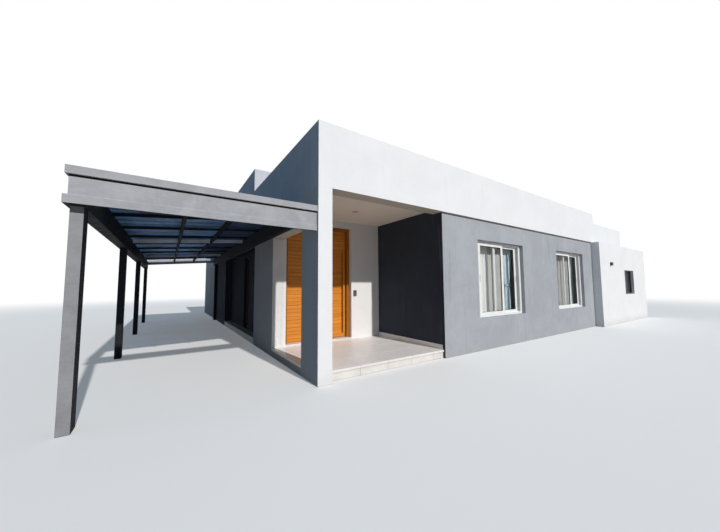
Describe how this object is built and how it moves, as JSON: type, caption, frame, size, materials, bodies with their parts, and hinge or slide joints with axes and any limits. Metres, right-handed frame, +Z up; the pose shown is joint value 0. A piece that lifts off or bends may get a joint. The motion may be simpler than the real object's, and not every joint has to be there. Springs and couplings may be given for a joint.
{
  "type": "bungalow",
  "caption": "Single-storey modern house with a white parapet band over grey walls, a recessed porch with a timber front door, a side carport and a low wing.",
  "frame": {"origin": "on the ground, under the middle of the whole outline", "axes": "+X along the front to the right seen from the front, +Y into the house, +Z up"},
  "size_m": [19.77, 16.37, 4.85],
  "materials": {
    "white_stucco": "fine painted stucco, white",
    "grey_stucco": "fine painted stucco, mid grey",
    "dark_stucco": "fine painted stucco, charcoal",
    "concrete": "trowelled concrete",
    "porch_tile": "large pale porcelain tiles, satin",
    "door_timber": "oiled orange-brown boards",
    "hinge_steel": "satin steel",
    "white_frame": "white lacquered aluminium",
    "brown_frame": "dark brown lacquered aluminium",
    "window_glass": "clear float glass",
    "curtain_cloth": "thin white curtain cloth",
    "carport_paint": "brushed grey paint",
    "carport_dark": "dark grey paint",
    "roof_sheet": "smoked blue translucent sheet",
    "black_plastic": "black plastic housing"
  },
  "bodies": {
    "house": {"floor_slabs": "concrete", "porch_slab": "concrete", "porch_paving": "porch_tile", "skirtings": "porch_tile", "front_column": "white_stucco", "front_band": "white_stucco", "bedroom_wall": "grey_stucco", "porch_side_wall": "dark_stucco", "porch_wall_left": "white_stucco", "porch_wall_right": "white_stucco", "porch_wall_head": "white_stucco", "left_wall": "grey_stucco", "left_upper_wall": "grey_stucco", "recess_wall": "dark_stucco", "right_wall": "grey_stucco", "rear_wall": "grey_stucco", "porch_ceiling": "white_stucco", "ceiling_light": "white_frame", "roof_slabs": "concrete", "roof_box": "grey_stucco", "wing_front_wall": "white_stucco", "wing_right_wall": "white_stucco", "wing_rear_wall": "white_stucco", "wing_upper_wall": "white_stucco", "wall_light": "black_plastic", "door_frame": "door_timber", "door_threshold": "porch_tile", "door_side_panel": "door_timber", "door_intercom": "black_plastic", "frame_hinges": "hinge_steel", "window_frames": "white_frame", "window_sashes": "white_frame", "window_glass": "window_glass", "dark_window_frames": "brown_frame", "curtains": "curtain_cloth", "curtain_rails": "hinge_steel", "carport_posts": "carport_paint", "carport_beams": "carport_paint", "carport_trims": "carport_paint", "carport_rafters": "carport_dark", "carport_crossbars": "carport_dark", "carport_sheets": "roof_sheet"},
    "front_door": {"door_leaf": "door_timber", "door_pull": "door_timber", "leaf_hinges": "hinge_steel"}
  },
  "joints": [
    {"name": "front_door_hinge", "type": "hinge", "parent": "house", "child": "front_door", "pos_m": [-6.021, -5.325, 1.6], "axis": [0, 0, 1], "range_deg": [0, 90]}
  ]
}
